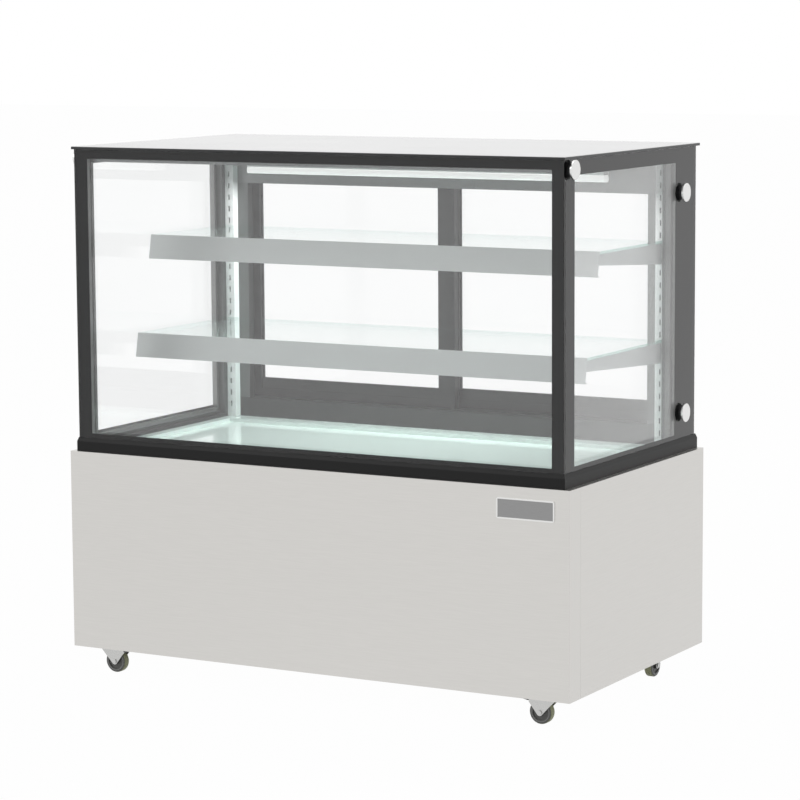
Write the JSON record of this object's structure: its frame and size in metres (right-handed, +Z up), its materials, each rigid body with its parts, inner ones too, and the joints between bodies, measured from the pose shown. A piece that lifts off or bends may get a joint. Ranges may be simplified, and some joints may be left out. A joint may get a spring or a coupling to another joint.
{
  "type": "refrigerated display case",
  "caption": "Glass-fronted refrigerated display case on casters, with lift-off glass shelves, a lamp and sliding rear doors.",
  "frame": {"origin": "centre of the overall box, on the floor", "axes": "+X to the shopper's right, +Y to the back where the sliding doors are, +Z up"},
  "size_m": [1.2, 0.664, 1.145],
  "materials": {
    "brushed_steel": "horizontal brushed, satin",
    "galvanised_steel": "plain, dull",
    "zinc": "bright zinc plate",
    "bright_metal": "satin bright",
    "aluminium": "satin anodised",
    "dark_aluminium": "satin grey anodised",
    "black_trim": "satin black powder coat",
    "white_steel": "satin pale grey",
    "white_deck": "glossy white",
    "black_enamel": "gloss black",
    "clear_glass": "clear, polished",
    "shelf_glass": "clear with a faint green tint",
    "painted_glass": "polished, painted white underneath",
    "white_diffuser": "translucent white",
    "black_rubber": "matte",
    "grey_rubber": "matte",
    "black_plastic": "fine matte grain",
    "foam": "rigid foam",
    "copper": "drawn copper",
    "caster_tread": "tough plastic"
  },
  "bodies": {
    "case": {"base_pan": "galvanised_steel", "front_panel": "brushed_steel", "left_side_panel": "brushed_steel", "right_side_panel": "brushed_steel", "rear_panel": "galvanised_steel", "rear_panel_screws": "zinc", "plinth_frame": "black_trim", "badge_plate": "bright_metal", "insulated_well": "foam", "deck_pan": "white_deck", "front_glass": "clear_glass", "left_side_glass": "clear_glass", "right_side_glass": "clear_glass", "glass_spacers": "aluminium", "corner_seals": "black_rubber", "top_panel": "painted_glass", "front_header": "aluminium", "rear_posts": "dark_aluminium", "rear_header": "dark_aluminium", "rear_sill": "dark_aluminium", "glass_fixing_necks": "black_plastic", "glass_fixing_caps": "bright_metal", "shelf_standards": "aluminium", "shelf_brackets": "white_steel", "shelf_front_rails": "white_steel", "lamp_rail": "aluminium", "lamp_diffuser": "white_diffuser", "compressor": "black_enamel", "condenser_coil": "aluminium", "condenser_fan_shroud": "galvanised_steel", "evaporator": "aluminium", "evaporator_fan_mount": "galvanised_steel", "refrigerant_pipes": "copper", "condensate_tray": "galvanised_steel", "control_panel": "black_plastic", "temperature_controller": "black_plastic", "cord_gland": "black_plastic", "caster_plates": "zinc"},
    "left_door": {"left_door_frame": "dark_aluminium", "left_door_glass": "clear_glass"},
    "right_door": {"right_door_frame": "dark_aluminium", "right_door_glass": "clear_glass"},
    "upper_shelf_board": {"upper_shelf_glass": "shelf_glass"},
    "lower_shelf_board": {"lower_shelf_glass": "shelf_glass"},
    "condenser_fan": {"condenser_fan_blades": "aluminium"},
    "evaporator_fan": {"evaporator_fan_blades": "black_plastic"},
    "light_rocker": {"light_switch": "black_plastic"},
    "power_rocker": {"power_switch": "black_plastic"},
    "up_key": {"controller_up_key": "grey_rubber"},
    "down_key": {"controller_down_key": "grey_rubber"},
    "front_left_caster": {"front_left_caster_fork": "zinc"},
    "front_left_wheel": {"front_left_caster_wheel": "caster_tread"},
    "front_left_pedal": {"front_left_brake_pedal": "black_plastic"},
    "front_right_caster": {"front_right_caster_fork": "zinc"},
    "front_right_wheel": {"front_right_caster_wheel": "caster_tread"},
    "front_right_pedal": {"front_right_brake_pedal": "black_plastic"},
    "rear_left_caster": {"rear_left_caster_fork": "zinc"},
    "rear_left_wheel": {"rear_left_caster_wheel": "caster_tread"},
    "rear_right_caster": {"rear_right_caster_fork": "zinc"},
    "rear_right_wheel": {"rear_right_caster_wheel": "caster_tread"}
  },
  "joints": [
    {"name": "left_door_slide", "type": "slide", "parent": "case", "child": "left_door", "axis": [1, 0, 0], "range_m": [0, 0.506]},
    {"name": "right_door_slide", "type": "slide", "parent": "case", "child": "right_door", "axis": [1, 0, 0], "range_m": [-0.506, 0]},
    {"name": "upper_shelf_lift", "type": "slide", "parent": "case", "child": "upper_shelf_board", "axis": [0, 0, 1], "range_m": [0, 0.05]},
    {"name": "lower_shelf_lift", "type": "slide", "parent": "case", "child": "lower_shelf_board", "axis": [0, 0, 1], "range_m": [0, 0.05]},
    {"name": "condenser_fan_spin", "type": "hinge", "parent": "case", "child": "condenser_fan", "pos_m": [-0.215, 0.234, 0.19], "axis": [0, 1, 0], "continuous": true},
    {"name": "evaporator_fan_spin", "type": "hinge", "parent": "case", "child": "evaporator_fan", "pos_m": [0, 0.02, 0.437], "axis": [0, 1, 0], "continuous": true},
    {"name": "light_switch_rock", "type": "hinge", "parent": "case", "child": "light_rocker", "pos_m": [0.365, 0.322, 0.325], "axis": [1, 0, 0], "range_deg": [-12, 0]},
    {"name": "power_switch_rock", "type": "hinge", "parent": "case", "child": "power_rocker", "pos_m": [0.325, 0.322, 0.325], "axis": [1, 0, 0], "range_deg": [-12, 0]},
    {"name": "down_key_press", "type": "slide", "parent": "case", "child": "down_key", "axis": [0, -1, 0], "range_m": [0, 0.0015], "stiffness_N_per_m": 300},
    {"name": "up_key_press", "type": "slide", "parent": "case", "child": "up_key", "axis": [0, -1, 0], "range_m": [0, 0.0015], "stiffness_N_per_m": 300},
    {"name": "front_left_caster_swivel", "type": "hinge", "parent": "case", "child": "front_left_caster", "pos_m": [-0.535, -0.285, 0.057], "axis": [0, 0, 1], "continuous": true},
    {"name": "front_left_wheel_spin", "type": "hinge", "parent": "front_left_caster", "child": "front_left_wheel", "pos_m": [-0.517, -0.285, 0.025], "axis": [0, 1, 0], "continuous": true},
    {"name": "front_left_brake", "type": "hinge", "parent": "front_left_caster", "child": "front_left_pedal", "pos_m": [-0.497, -0.285, 0.047], "axis": [0, 1, 0], "range_deg": [0, 20]},
    {"name": "front_right_caster_swivel", "type": "hinge", "parent": "case", "child": "front_right_caster", "pos_m": [0.535, -0.285, 0.057], "axis": [0, 0, 1], "continuous": true},
    {"name": "front_right_wheel_spin", "type": "hinge", "parent": "front_right_caster", "child": "front_right_wheel", "pos_m": [0.517, -0.285, 0.025], "axis": [0, 1, 0], "continuous": true},
    {"name": "front_right_brake", "type": "hinge", "parent": "front_right_caster", "child": "front_right_pedal", "pos_m": [0.497, -0.285, 0.047], "axis": [0, -1, 0], "range_deg": [0, 20]},
    {"name": "rear_left_caster_swivel", "type": "hinge", "parent": "case", "child": "rear_left_caster", "pos_m": [-0.535, 0.23, 0.057], "axis": [0, 0, 1], "continuous": true},
    {"name": "rear_left_wheel_spin", "type": "hinge", "parent": "rear_left_caster", "child": "rear_left_wheel", "pos_m": [-0.535, 0.212, 0.025], "axis": [1, 0, 0], "continuous": true},
    {"name": "rear_right_caster_swivel", "type": "hinge", "parent": "case", "child": "rear_right_caster", "pos_m": [0.535, 0.23, 0.057], "axis": [0, 0, 1], "continuous": true},
    {"name": "rear_right_wheel_spin", "type": "hinge", "parent": "rear_right_caster", "child": "rear_right_wheel", "pos_m": [0.535, 0.212, 0.025], "axis": [1, 0, 0], "continuous": true}
  ]
}
